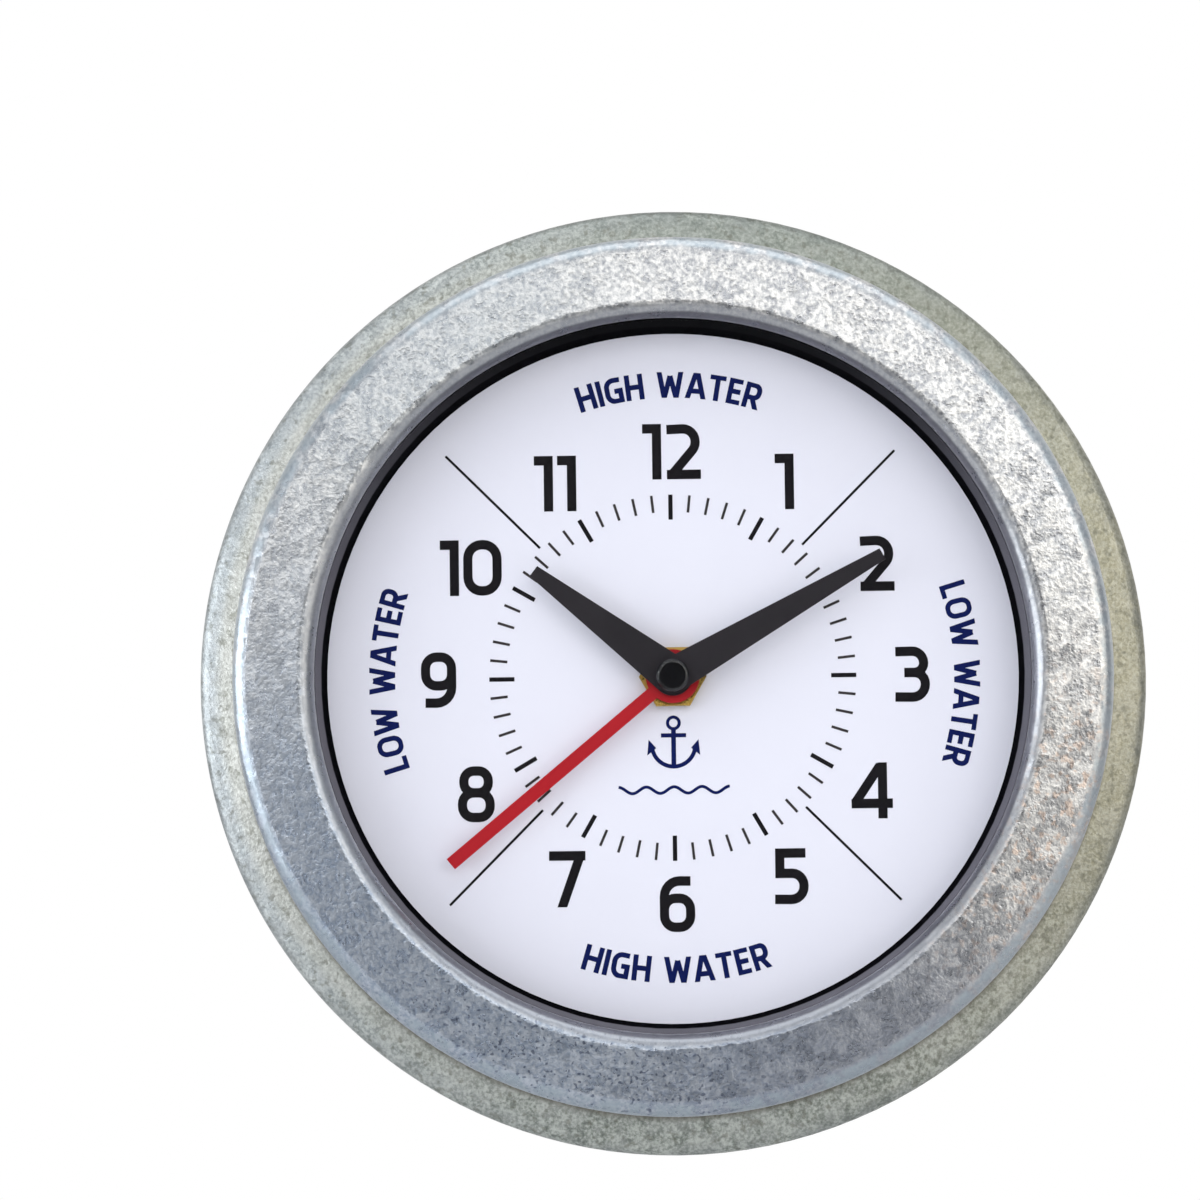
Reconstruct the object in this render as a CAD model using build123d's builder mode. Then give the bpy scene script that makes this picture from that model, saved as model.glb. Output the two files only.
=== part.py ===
from build123d import *
import math
import os

# A round wall-hung tide clock in millimetres. X is right, Z is up and the dial faces -Y.
# The wall is the plane y = 0, and every height below is measured from it towards the front.

# Pressed steel case
CASE_RADIUS = 110.0
CASE_SHEET = 0.8
NECK_HEIGHT = 5.6
SHOULDER_DROP = 3.0
SHOULDER_WIDTH = 10.1
RIM_WIDTH = 6.6
SHOULDER_BEND = 3.0
RIM_BEND = 2.0
NECK_BEND = 1.2
FOOT_BEND = 0.5
SEAT_WIDTH = 7.1

# Pressed front bezel
BEZEL_FIT = 0.1
LIP_HEIGHT = 4.1
BEZEL_SLOPE = 1.8
BEZEL_WIDTH = 18.8
LIP_ROLL = 3.6
EDGE_ROLL = 3.6
SKIRT_GAP = 0.7

# Glass and dial stack, from the dial towards the front
DIAL_FRONT = 25.0
DIAL_SHEET = 0.8
DIAL_TO_GLASS = 9.5
GLASS_THICK = 2.0
GASKET_THICK = 0.6
GLASS_REBATE = 3.6
GASKET_WIDTH = 5.0
RING_WALL = 1.6
RING_SLOPE = 2.2
RING_STEP = 0.1
RING_RIM = 0.4
SLIP = 0.3

# Back cover
COVER_LEVEL = 3.0
COVER_SHEET = 1.0
COVER_GAP = 0.6
SCREW_INSET = 4.8
SCREW_SHANK = 1.5
SCREW_HEAD = 2.8
SCREW_HEAD_HEIGHT = 1.6
SCREW_LENGTH = 7.0
SCREW_CLEARANCE = 0.2
BRACKET_COUNT = 4
BRACKET_ANGLE = 8.0
BRACKET_MARGIN = 3.8
BRACKET_GAP = 0.6
BRACKET_START = 45.0
KEYHOLE_RADIUS = 4.5
KEYHOLE_SLOT = 4.4
KEYHOLE_RUN = 9.0
KEYHOLE_INSET = 32.8

# Movement housing
MOVEMENT_CORNER = 3.0
MOVEMENT_DEPTH = 20.0
MOVEMENT_WALL = 1.4
FRONT_WALL = 1.6
REAR_WALL = 1.4
WINDOW_GAP = 1.0
REAR_HALF = 9.8
BAY_GAP = 0.6
BAY_WALL = 1.0
MID_PLATE = 1.2
MID_PLATE_GAP = 0.3
LEDGE_WIDTH = 2.0
LEDGE_DEPTH = 3.0

# Centre shafts, each running inside the next
RUNNING = 0.1
RUBBER_THICK = 0.8
RUBBER_RADIUS = 9.0
ARBOR_RADIUS = 1.5
TUBE_WALL = 0.9
BUSH_RADIUS = 5.0
BUSH_ABOVE_NUT = 0.3
WASHER_THICK = 0.5
WASHER_RADIUS = 6.3
NUT_FLATS = 13.5
NUT_THICK = 2.4
PIVOT_RADIUS = 0.5
PIVOT_FIT = 0.05
PIVOT_DEPTH = 0.8
PIVOT_END = 0.1
SHAFT_RADIUS = 1.0

# Hands
HAND_SHEET = 0.5
HAND_GAP = 0.4
HAND_STEP = 1.6
TIDE_HAND_SHARE = 0.838
TIDE_HAND_WIDTH = 3.0
TIDE_HUB = 6.2
SHORT_HAND_SHARE = 0.503
SHORT_HAND_HUB = 4.6
SHORT_HAND_TIP = 2.9
LONG_HAND_SHARE = 0.699
LONG_HAND_HUB = 4.1
LONG_HAND_TIP = 2.8
TIDE_AT = 230.4
HOUR_AT = 307.7
MINUTE_AT = 60.6
CAP_RADIUS = 3.8
CAP_ROLL = 0.9
CAP_HEIGHT = 1.7
CAP_DISH = 0.25
CAP_BORE = 1.2
CAP_BORE_DEPTH = 1.1

# Wheels. Shares are tooth thickness over half the tooth pitch at root, pitch line and tip.
ADDENDUM = 0.85
DEDENDUM = 1.2
TOOTH_SHARES = (1.0, 0.82, 0.4)
WHEEL_THICK = 1.2
TRAIN_THICK = 1.0
LAYER_GAP = 0.8
TOOTH_OVERLAP = 0.1
MOTION_MODULE = 0.3
TRAIN_MODULE = 0.25
CANNON_TEETH = 10
MINUTE_WHEEL_TEETH = 40
MINUTE_PINION_TEETH = 19
HOUR_TEETH = 57
IDLER_TEETH = 20
TIDE_TEETH = 59
TRAIN_PINION_TEETH = 10
TRAIN_WHEEL_TEETH = 60
ROTOR_WHEEL_TEETH = 50
MINUTE_WHEEL_AT = 90.0
IDLER_AT = -15.0
THIRD_AT = 160.0
INTERMEDIATE_AT = 130.0
ROTOR_AT = 70.0
KNOB_RADIUS = 5.2
KNOB_HEIGHT = 2.3
KNOB_GAP = 0.2
KNOB_FLUTE_COUNT = 14
KNOB_FLUTE = 0.5
ARBOR_IN_KNOB = 1.9

# Stepping motor, board and battery
MAGNET_RADIUS = 3.2
MAGNET_HEIGHT = 2.2
STATOR_HOLE = 3.7
STATOR_RING = 5.6
STATOR_SHEET = 0.8
STATOR_BAR = 2.0
COIL_RISE = 5.86
COIL_MARGIN = 0.6
COIL_LENGTH = 20.0
COIL_SIDE_GAP = 5.0
COIL_RADIUS = 3.1
BOBBIN_CORE = 1.7
BOBBIN_FLANGE = 3.4
BOBBIN_END = 0.8
STATOR_INSET = 2.6
STATOR_DROP = 7.1
BOARD_WIDTH = 12.0
BOARD_HEIGHT = 22.5
BOARD_INSET = 0.6
BOARD_THICK = 1.0
CHIP_SIDE = 4.0
CHIP_HEIGHT = 1.2
CRYSTAL_RADIUS = 1.0
CRYSTAL_LENGTH = 6.0
CRYSTAL_INSET = 2.0
CELL_RADIUS = 7.1
SPRING_ROOM = 2.3
NUB_RADIUS = 2.7
NUB_LENGTH = 1.0
CELL_GAP = 0.1
CONTACT_SHEET = 0.4
CONTACT_WIDTH = 9.0

# Heights and radii that follow
neck_radius = CASE_RADIUS - SHOULDER_WIDTH
rim_opening = CASE_RADIUS - RIM_WIDTH
seat_opening = neck_radius - SEAT_WIDTH
skirt_bore = neck_radius + BEZEL_FIT
bezel_radius = skirt_bore + CASE_SHEET
lip_opening = bezel_radius - BEZEL_WIDTH
dial_back = DIAL_FRONT - DIAL_SHEET
glass_back = DIAL_FRONT + DIAL_TO_GLASS
glass_front = glass_back + GLASS_THICK
lip_edge = glass_front + GASKET_THICK
bezel_top = lip_edge + LIP_HEIGHT
neck_foot = dial_back - NECK_HEIGHT
side_height = neck_foot - SHOULDER_DROP
ring_radius = skirt_bore - SLIP
glass_bore = ring_radius - GLASS_REBATE
glass_radius = glass_bore - SLIP
ring_glass_opening = lip_opening - RING_STEP
dial_opening = ring_glass_opening - RING_SLOPE
movement_front = dial_back - RUBBER_THICK
movement_back = movement_front - MOVEMENT_DEPTH
inner_front = movement_front - FRONT_WALL
inner_back = movement_back + REAR_WALL
half_line = movement_back + REAR_HALF
mid_front = half_line + MID_PLATE
cover_front = COVER_LEVEL + COVER_SHEET
cover_radius = rim_opening - COVER_GAP
screw_circle = cover_radius - SCREW_INSET
bracket_top = side_height - SHOULDER_BEND - BRACKET_GAP
bracket_end = screw_circle - BRACKET_MARGIN
keyhole_place = cover_radius - KEYHOLE_INSET

tide_hand_length = dial_opening * TIDE_HAND_SHARE
hour_hand_length = dial_opening * SHORT_HAND_SHARE
minute_hand_length = dial_opening * LONG_HAND_SHARE

# Each tube runs on the one inside it, with the running clearance all round
hour_bore = ARBOR_RADIUS + RUNNING
hour_tube = hour_bore + TUBE_WALL
tide_bore = hour_tube + RUNNING
tide_tube = tide_bore + TUBE_WALL
bush_bore = tide_tube + RUNNING
nut_back = DIAL_FRONT + WASHER_THICK
nut_front = nut_back + NUT_THICK
bush_front = nut_front + BUSH_ABOVE_NUT
tide_level = bush_front + HAND_GAP
hour_level = tide_level + HAND_STEP
minute_level = hour_level + HAND_STEP
minute_front = minute_level + HAND_SHEET

# Wheel layers, from the front wall of the movement backwards
tide_low = inner_front - LAYER_GAP - WHEEL_THICK
hour_low = tide_low - LAYER_GAP - WHEEL_THICK
minute_low = hour_low - 2 * WHEEL_THICK
centre_low = half_line - LAYER_GAP - TRAIN_THICK
third_low = centre_low - TRAIN_THICK - LAYER_GAP * 1.5
intermediate_low = third_low - TRAIN_THICK - LAYER_GAP * 1.5
hour_mesh = (hour_low - TOOTH_OVERLAP, hour_low + WHEEL_THICK + TOOTH_OVERLAP)
tide_mesh = (tide_low - TOOTH_OVERLAP, tide_low + WHEEL_THICK + TOOTH_OVERLAP)
centre_mesh = centre_low + TRAIN_THICK + TOOTH_OVERLAP
third_mesh = third_low + TRAIN_THICK + TOOTH_OVERLAP
pivot_low = inner_back - PIVOT_DEPTH + PIVOT_END
pivot_mid = half_line + PIVOT_DEPTH
pivot_high = inner_front + PIVOT_DEPTH - PIVOT_END

# Axis distances of the meshing wheels
minute_distance = MOTION_MODULE * (MINUTE_PINION_TEETH + HOUR_TEETH) / 2
minute_module = 2 * minute_distance / (CANNON_TEETH + MINUTE_WHEEL_TEETH)
idler_distance = MOTION_MODULE * (HOUR_TEETH + IDLER_TEETH) / 2
tide_module = 2 * idler_distance / (TIDE_TEETH + IDLER_TEETH)
train_distance = TRAIN_MODULE * (TRAIN_PINION_TEETH + TRAIN_WHEEL_TEETH) / 2
rotor_distance = TRAIN_MODULE * (TRAIN_PINION_TEETH + ROTOR_WHEEL_TEETH) / 2


def polar(distance, degrees, start=(0, 0)):
    """The point at a distance and an angle from a starting point, seen from the front."""
    angle = math.radians(degrees)
    return (start[0] + distance * math.cos(angle), start[1] + distance * math.sin(angle))


minute_axis = polar(minute_distance, MINUTE_WHEEL_AT)
idler_axis = polar(idler_distance, IDLER_AT)
third_axis = polar(train_distance, THIRD_AT)
intermediate_axis = polar(train_distance, INTERMEDIATE_AT, third_axis)
rotor_axis = polar(rotor_distance, ROTOR_AT, intermediate_axis)

# The housing is square round the train, with the coil above the rotor and the battery below
coil_place = rotor_axis[1] + COIL_RISE
inner_side = coil_place + BOBBIN_FLANGE + COIL_MARGIN
movement_side = 2 * (inner_side + MOVEMENT_WALL)
window_side = movement_side + 2 * WINDOW_GAP
mid_plate_top = coil_place - BOBBIN_FLANGE - MID_PLATE_GAP
cell_place = CELL_RADIUS + BAY_GAP - inner_side
bay_wall_low = cell_place + CELL_RADIUS + BAY_GAP
bay_wall_high = bay_wall_low + BAY_WALL
stator_right = inner_side - STATOR_INSET
stator_bottom = coil_place - STATOR_DROP
coil_left = stator_right - STATOR_BAR - COIL_LENGTH - COIL_SIDE_GAP
board_right = inner_side - BOARD_INSET
board_left = board_right - BOARD_WIDTH
board_low = bay_wall_high + BOARD_INSET
board_high = board_low + BOARD_HEIGHT


def front(height):
    """The drawing plane parallel to the wall at a height, extruding towards the front."""
    return Plane.XZ.offset(height)


def section(degrees=0.0):
    """The half plane through the clock's axis, with radius across and height up."""
    angle = math.radians(degrees)
    return Plane((0, 0, 0), x_dir=(math.cos(angle), 0, math.sin(angle)),
                 z_dir=(math.sin(angle), 0, -math.cos(angle)))


def turned(*points):
    """Revolves a closed profile of (radius, height) points about the clock's axis."""
    with BuildSketch(section()) as profile:
        with BuildLine():
            Polyline(*points, close=True)
        make_face()
    revolve(profile.sketch, axis=Axis.Y)


def tube(outer, inner, low, high, at=(0, 0), mode=Mode.ADD):
    """A tube between two heights, or a rod where the inner radius is 0."""
    with BuildSketch(front(low)) as ring:
        with Locations(at):
            Circle(outer)
            if inner:
                Circle(inner, mode=Mode.SUBTRACT)
    extrude(ring.sketch, amount=high - low, mode=mode)


def block(left, right, bottom, top, low, high, mode=Mode.ADD):
    """A box between two heights."""
    with BuildSketch(front(low)) as outline:
        with Locations(((left + right) / 2, (bottom + top) / 2)):
            Rectangle(right - left, top - bottom)
    extrude(outline.sketch, amount=high - low, mode=mode)


def pressed(points, bends):
    """Revolves a bent sheet whose skin follows the points, with a bend radius at each inner point."""
    with BuildSketch(section()) as profile:
        with BuildLine() as skin:
            Polyline(*points)
            for point, radius in zip(points[1:-1], bends):
                fillet(skin.vertices().sort_by_distance(point)[0], radius=radius)
            offset(amount=CASE_SHEET, side=Side.LEFT)
        make_face()
    revolve(profile.sketch, axis=Axis.Y)


def wheel(teeth, module, low, high, at=(0, 0), first=0.0, bore=0.0):
    """A toothed wheel between two heights, with its first tooth at an angle in degrees."""
    pitch = module * teeth / 2
    radii = (pitch - DEDENDUM * module, pitch, pitch + ADDENDUM * module)
    flank = list(zip(radii, TOOTH_SHARES))
    outline = []
    for tooth in range(teeth):
        middle = first + 360 * tooth / teeth
        outline += [polar(radius, middle - share * 90 / teeth) for radius, share in flank]
        outline += [polar(radius, middle + share * 90 / teeth) for radius, share in reversed(flank)]
    with BuildSketch(front(low)) as shape:
        with Locations(at):
            with BuildSketch(mode=Mode.PRIVATE) as teeth_shape:
                with BuildLine():
                    Polyline(*outline, close=True)
                make_face()
            add(teeth_shape.sketch)
            if bore:
                Circle(bore, mode=Mode.SUBTRACT)
    extrude(shape.sketch, amount=high - low)


def meshing(teeth, first, toward, mate_teeth):
    """The first tooth's angle on a mate that lies toward an angle, so that the teeth interleave."""
    turn = (toward - first) * teeth / 360
    return toward + 180 - (360 / mate_teeth) * (0.5 - turn)


def hand(length, hub, tip, clock_angle, level, bore):
    """A flat hand: a round hub tapering to a square end, at an angle clockwise from twelve."""
    direction = 90 - clock_angle
    with BuildSketch(front(level)) as shape:
        with Locations(Rotation(0, 0, direction)):
            with BuildSketch(mode=Mode.PRIVATE) as flat:
                Circle(hub)
                with BuildLine():
                    Polyline((0, hub), (length, tip / 2), (length, -tip / 2), (0, -hub), close=True)
                make_face()
                Circle(bore, mode=Mode.SUBTRACT)
            add(flat.sketch)
    extrude(shape.sketch, amount=HAND_SHEET)


def save(piece, name):
    """Labels a piece and writes it to its own file."""
    piece.part.label = name
    export_step(piece.part, f"parts/{name}.step")


os.makedirs("parts", exist_ok=True)

# The case: a turned-in rim at the wall, the side, a sloping shoulder, the neck and the dial seat
with BuildPart() as case_body:
    pressed([(rim_opening, 0), (CASE_RADIUS, 0), (CASE_RADIUS, side_height), (neck_radius, neck_foot),
             (neck_radius, dial_back), (seat_opening, dial_back)],
            [RIM_BEND, SHOULDER_BEND, FOOT_BEND, NECK_BEND])
save(case_body, "case_body")

# The bezel's skirt is pressed over the neck, and its rolled lip holds the glass
with BuildPart() as front_bezel:
    pressed([(bezel_radius, neck_foot + SKIRT_GAP), (bezel_radius, bezel_top - BEZEL_SLOPE),
             (lip_opening, bezel_top), (lip_opening, lip_edge)],
            [EDGE_ROLL, LIP_ROLL])
save(front_bezel, "front_bezel")

with BuildPart() as lens_gasket:
    tube(lip_opening + GASKET_WIDTH, lip_opening, glass_front, lip_edge)
save(lens_gasket, "lens_gasket")

with BuildPart() as lens_glass:
    tube(glass_radius, 0, glass_back, glass_front)
save(lens_glass, "lens_glass")

# A moulded channel: sloping inner wall, roof under the glass, outer wall with a rim round the glass
with BuildPart() as dial_ring:
    roof = glass_back - RING_WALL
    turned((dial_opening, DIAL_FRONT), (ring_glass_opening, glass_back),
           (glass_bore, glass_back), (glass_bore, glass_front + RING_RIM),
           (ring_radius, glass_front + RING_RIM), (ring_radius, DIAL_FRONT),
           (ring_radius - RING_WALL, DIAL_FRONT), (ring_radius - RING_WALL, roof),
           (ring_glass_opening + RING_WALL, roof), (dial_opening + RING_WALL, DIAL_FRONT))
save(dial_ring, "dial_ring")

with BuildPart() as dial_plate:
    tube(ring_radius, BUSH_RADIUS + RUNNING, dial_back, DIAL_FRONT)
save(dial_plate, "dial_plate")

screw_places = [polar(screw_circle, BRACKET_START + 360 * k / BRACKET_COUNT) for k in range(BRACKET_COUNT)]

# Angle brackets welded inside the case wall, tapped for the cover screws
with BuildPart() as cover_brackets:
    wall = CASE_RADIUS - CASE_SHEET
    for k in range(BRACKET_COUNT):
        middle = BRACKET_START + 360 * k / BRACKET_COUNT
        with BuildSketch(section(middle + BRACKET_ANGLE / 2)) as angle_profile:
            with BuildLine():
                Polyline((bracket_end, cover_front), (wall, cover_front),
                         (wall, bracket_top),
                         (wall - CASE_SHEET, bracket_top),
                         (wall - CASE_SHEET, cover_front + CASE_SHEET),
                         (bracket_end, cover_front + CASE_SHEET), close=True)
            make_face()
        revolve(angle_profile.sketch, axis=Axis.Y, revolution_arc=BRACKET_ANGLE)
    for place in screw_places:
        tube(SCREW_SHANK, 0, cover_front, cover_front + CASE_SHEET, place, Mode.SUBTRACT)
save(cover_brackets, "cover_brackets")

# The cover has a window for the movement and a keyhole for the wall screw
with BuildPart() as back_cover:
    tube(cover_radius, 0, COVER_LEVEL, cover_front)
    block(-window_side / 2, window_side / 2, -window_side / 2, window_side / 2,
          COVER_LEVEL, cover_front, Mode.SUBTRACT)
    for place in screw_places:
        tube(SCREW_SHANK + SCREW_CLEARANCE, 0, COVER_LEVEL, cover_front, place, Mode.SUBTRACT)
    tube(KEYHOLE_RADIUS, 0, COVER_LEVEL, cover_front, (0, keyhole_place), Mode.SUBTRACT)
    block(-KEYHOLE_SLOT / 2, KEYHOLE_SLOT / 2, keyhole_place, keyhole_place + KEYHOLE_RUN,
          COVER_LEVEL, cover_front, Mode.SUBTRACT)
    tube(KEYHOLE_SLOT / 2, 0, COVER_LEVEL, cover_front, (0, keyhole_place + KEYHOLE_RUN), Mode.SUBTRACT)
save(back_cover, "back_cover")

with BuildPart() as cover_screws:
    for place in screw_places:
        tube(SCREW_HEAD, 0, COVER_LEVEL - SCREW_HEAD_HEIGHT, COVER_LEVEL, place)
        tube(SCREW_SHANK, 0, COVER_LEVEL, COVER_LEVEL + SCREW_LENGTH, place)
        for across in (0, 90):
            with BuildSketch(front(COVER_LEVEL - SCREW_HEAD_HEIGHT)) as slot:
                with Locations(place):
                    Rectangle(SCREW_HEAD * 1.2, CASE_SHEET, rotation=across)
            extrude(slot.sketch, amount=SCREW_HEAD_HEIGHT / 2, mode=Mode.SUBTRACT)
save(cover_screws, "cover_screws")


def housing_half(low, high):
    """The square outline of the movement between two heights, with rounded corners."""
    with BuildSketch(front(low)) as outline:
        RectangleRounded(movement_side, movement_side, MOVEMENT_CORNER)
    extrude(outline.sketch, amount=high - low)


# Front half of the movement, open towards the back
with BuildPart() as movement_front_case:
    housing_half(half_line, movement_front)
    block(-inner_side, inner_side, -inner_side, inner_side, half_line, inner_front, Mode.SUBTRACT)
    block(-inner_side, inner_side, bay_wall_low, bay_wall_high, half_line, inner_front)
    tube(BUSH_RADIUS, 0, inner_front, movement_front, mode=Mode.SUBTRACT)
    for axis in (minute_axis, idler_axis):
        tube(PIVOT_RADIUS + PIVOT_FIT, 0, inner_front, inner_front + PIVOT_DEPTH, axis, Mode.SUBTRACT)
save(movement_front_case, "movement_front_case")

stator_low = third_low + TOOTH_OVERLAP
stator_posts = [(stator_right - STATOR_BAR / 2, stator_bottom + STATOR_BAR), (rotor_axis[0], coil_place)]

# Rear half, with the battery bay open to the back, plate ledges and posts for the stator
with BuildPart() as movement_rear_case:
    housing_half(movement_back, half_line)
    block(-inner_side, inner_side, -inner_side, inner_side, inner_back, half_line, Mode.SUBTRACT)
    block(-inner_side, inner_side, bay_wall_low, bay_wall_high, inner_back, half_line)
    block(-inner_side, inner_side, -inner_side, bay_wall_low, movement_back, inner_back, Mode.SUBTRACT)
    for side in (-1, 1):
        edges = sorted((side * inner_side, side * (inner_side - LEDGE_WIDTH)))
        block(*edges, bay_wall_high, mid_plate_top, half_line - LEDGE_DEPTH, half_line)
    for post in stator_posts:
        tube(STATOR_BAR / 2, 0, inner_back, stator_low, post)
    for axis in (minute_axis, idler_axis):
        tube(SHAFT_RADIUS + PIVOT_FIT, 0, movement_back, inner_back, axis, Mode.SUBTRACT)
    for axis in ((0, 0), third_axis, intermediate_axis, rotor_axis):
        tube(PIVOT_RADIUS + PIVOT_FIT, 0, inner_back - PIVOT_DEPTH, inner_back, axis, Mode.SUBTRACT)
save(movement_rear_case, "movement_rear_case")

with BuildPart() as middle_plate:
    block(-inner_side + RUNNING, inner_side - RUNNING, bay_wall_high + RUNNING, mid_plate_top,
          half_line, mid_front)
    tube(ARBOR_RADIUS + PIVOT_FIT, 0, half_line, mid_front, mode=Mode.SUBTRACT)
    for axis in (minute_axis, idler_axis):
        tube(SHAFT_RADIUS + PIVOT_FIT, 0, half_line, mid_front, axis, Mode.SUBTRACT)
    for axis in (third_axis, intermediate_axis, rotor_axis):
        tube(PIVOT_RADIUS + PIVOT_FIT, 0, half_line, mid_front, axis, Mode.SUBTRACT)
save(middle_plate, "middle_plate")

with BuildPart() as threaded_bush:
    tube(BUSH_RADIUS, bush_bore, inner_front, bush_front)
save(threaded_bush, "threaded_bush")

with BuildPart() as rubber_washer:
    tube(RUBBER_RADIUS, BUSH_RADIUS + RUNNING, movement_front, dial_back)
save(rubber_washer, "rubber_washer")

with BuildPart() as brass_washer:
    tube(WASHER_RADIUS, BUSH_RADIUS + RUNNING, DIAL_FRONT, nut_back)
save(brass_washer, "brass_washer")

with BuildPart() as hex_nut:
    with BuildSketch(front(nut_back)):
        RegularPolygon(NUT_FLATS / 2, 6, major_radius=False, rotation=0)
        Circle(BUSH_RADIUS, mode=Mode.SUBTRACT)
    extrude(amount=NUT_THICK)
save(hex_nut, "hex_nut")

# First teeth, each found from the wheel that drives it
cannon_first = MINUTE_WHEEL_AT
minute_wheel_first = meshing(CANNON_TEETH, cannon_first, MINUTE_WHEEL_AT, MINUTE_WHEEL_TEETH)
hour_first = meshing(MINUTE_PINION_TEETH, 0, MINUTE_WHEEL_AT + 180, HOUR_TEETH)
idler_first = meshing(HOUR_TEETH, hour_first, IDLER_AT, IDLER_TEETH)
tide_first = meshing(IDLER_TEETH, 0, IDLER_AT + 180, TIDE_TEETH)
centre_first = meshing(TRAIN_PINION_TEETH, 0, THIRD_AT + 180, TRAIN_WHEEL_TEETH)
third_first = meshing(TRAIN_PINION_TEETH, 0, INTERMEDIATE_AT + 180, TRAIN_WHEEL_TEETH)
intermediate_first = meshing(TRAIN_PINION_TEETH, 0, ROTOR_AT + 180, ROTOR_WHEEL_TEETH)

# Minute arbor with its cannon pinion, and the centre wheel that turns it by a spring grip
with BuildPart() as minute_arbor:
    tube(PIVOT_RADIUS, 0, pivot_low, centre_low)
    tube(ARBOR_RADIUS, 0, centre_low, minute_front)
    tube(CAP_BORE, 0, minute_front, minute_front + CAP_BORE_DEPTH)
    wheel(CANNON_TEETH, minute_module, minute_low - TOOTH_OVERLAP, minute_low + WHEEL_THICK + TOOTH_OVERLAP,
          first=cannon_first)
save(minute_arbor, "minute_arbor")

with BuildPart() as centre_wheel:
    wheel(TRAIN_WHEEL_TEETH, TRAIN_MODULE, centre_low, centre_low + TRAIN_THICK, first=centre_first,
          bore=ARBOR_RADIUS + PIVOT_FIT)
save(centre_wheel, "centre_wheel")

with BuildPart() as minute_hand:
    hand(minute_hand_length, LONG_HAND_HUB, LONG_HAND_TIP, MINUTE_AT, minute_level, ARBOR_RADIUS)
save(minute_hand, "minute_hand")

# The cap's front edge is rounded over, and its face is dished inside that edge
with BuildPart() as hand_cap:
    cap_front = minute_front + CAP_HEIGHT
    tube(CAP_RADIUS, 0, minute_front, cap_front)
    fillet(hand_cap.edges().group_by(Axis.Y)[0], radius=CAP_ROLL)
    tube(CAP_RADIUS - CAP_ROLL, 0, cap_front - CAP_DISH, cap_front, mode=Mode.SUBTRACT)
    tube(CAP_BORE, 0, minute_front, minute_front + CAP_BORE_DEPTH, mode=Mode.SUBTRACT)
save(hand_cap, "hand_cap")

# Minute wheel and its pinion on the setting shaft
with BuildPart() as minute_wheel:
    wheel(MINUTE_WHEEL_TEETH, minute_module, minute_low, minute_low + WHEEL_THICK, minute_axis,
          minute_wheel_first)
    wheel(MINUTE_PINION_TEETH, MOTION_MODULE, minute_low + WHEEL_THICK, hour_mesh[1], minute_axis)
    tube(SHAFT_RADIUS, 0, movement_back - ARBOR_IN_KNOB, minute_low, minute_axis)
    tube(PIVOT_RADIUS, 0, hour_mesh[1], pivot_high, minute_axis)
save(minute_wheel, "minute_wheel")

with BuildPart() as hour_wheel:
    wheel(HOUR_TEETH, MOTION_MODULE, hour_low, hour_low + WHEEL_THICK, first=hour_first, bore=hour_bore)
    tube(hour_tube, hour_bore, hour_low + WHEEL_THICK, hour_level + HAND_SHEET)
save(hour_wheel, "hour_wheel")

with BuildPart() as hour_hand:
    hand(hour_hand_length, SHORT_HAND_HUB, SHORT_HAND_TIP, HOUR_AT, hour_level, hour_tube)
save(hour_hand, "hour_hand")

# Twin pinions of equal count: one driven by the hour wheel, one driving the tide wheel
with BuildPart() as tide_idler:
    wheel(IDLER_TEETH, MOTION_MODULE, *hour_mesh, idler_axis, idler_first)
    tube(SHAFT_RADIUS, 0, hour_mesh[1], tide_mesh[0], idler_axis)
    wheel(IDLER_TEETH, tide_module, *tide_mesh, idler_axis)
    tube(SHAFT_RADIUS, 0, movement_back - ARBOR_IN_KNOB, hour_mesh[0], idler_axis)
    tube(PIVOT_RADIUS, 0, tide_mesh[1], pivot_high, idler_axis)
save(tide_idler, "tide_idler")

with BuildPart() as tide_wheel:
    wheel(TIDE_TEETH, tide_module, tide_low, tide_low + WHEEL_THICK, first=tide_first, bore=tide_bore)
    tube(tide_tube, tide_bore, tide_low + WHEEL_THICK, tide_level + HAND_SHEET)
save(tide_wheel, "tide_wheel")

with BuildPart() as tide_hand:
    with BuildSketch(front(tide_level)) as shape:
        with Locations(Rotation(0, 0, 90 - TIDE_AT)):
            with BuildSketch(mode=Mode.PRIVATE) as flat:
                Circle(TIDE_HUB)
                with Locations((tide_hand_length / 2, 0)):
                    Rectangle(tide_hand_length, TIDE_HAND_WIDTH)
                Circle(tide_tube, mode=Mode.SUBTRACT)
            add(flat.sketch)
    extrude(amount=HAND_SHEET)
save(tide_hand, "tide_hand")


def knob(axis):
    """A fluted setting knob on the end of a shaft, with a blind hole for it."""
    top = movement_back - KNOB_GAP
    tube(KNOB_RADIUS, 0, top - KNOB_HEIGHT, top, axis)
    for flute in range(KNOB_FLUTE_COUNT):
        tube(KNOB_FLUTE, 0, top - KNOB_HEIGHT, top,
             polar(KNOB_RADIUS, 360 * flute / KNOB_FLUTE_COUNT, axis), Mode.SUBTRACT)
    tube(SHAFT_RADIUS, 0, movement_back - ARBOR_IN_KNOB, top, axis, Mode.SUBTRACT)


with BuildPart() as time_set_knob:
    knob(minute_axis)
save(time_set_knob, "time_set_knob")

with BuildPart() as tide_set_knob:
    knob(idler_axis)
save(tide_set_knob, "tide_set_knob")


def train_wheel(teeth, low, pinion_top, axis, first):
    """A going-train wheel with its pinion in front of it, on two pivots."""
    wheel(teeth, TRAIN_MODULE, low, low + TRAIN_THICK, axis, first)
    wheel(TRAIN_PINION_TEETH, TRAIN_MODULE, low + TRAIN_THICK, pinion_top, axis)
    tube(PIVOT_RADIUS, 0, pivot_low, low, axis)
    tube(PIVOT_RADIUS, 0, pinion_top, pivot_mid, axis)


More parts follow.
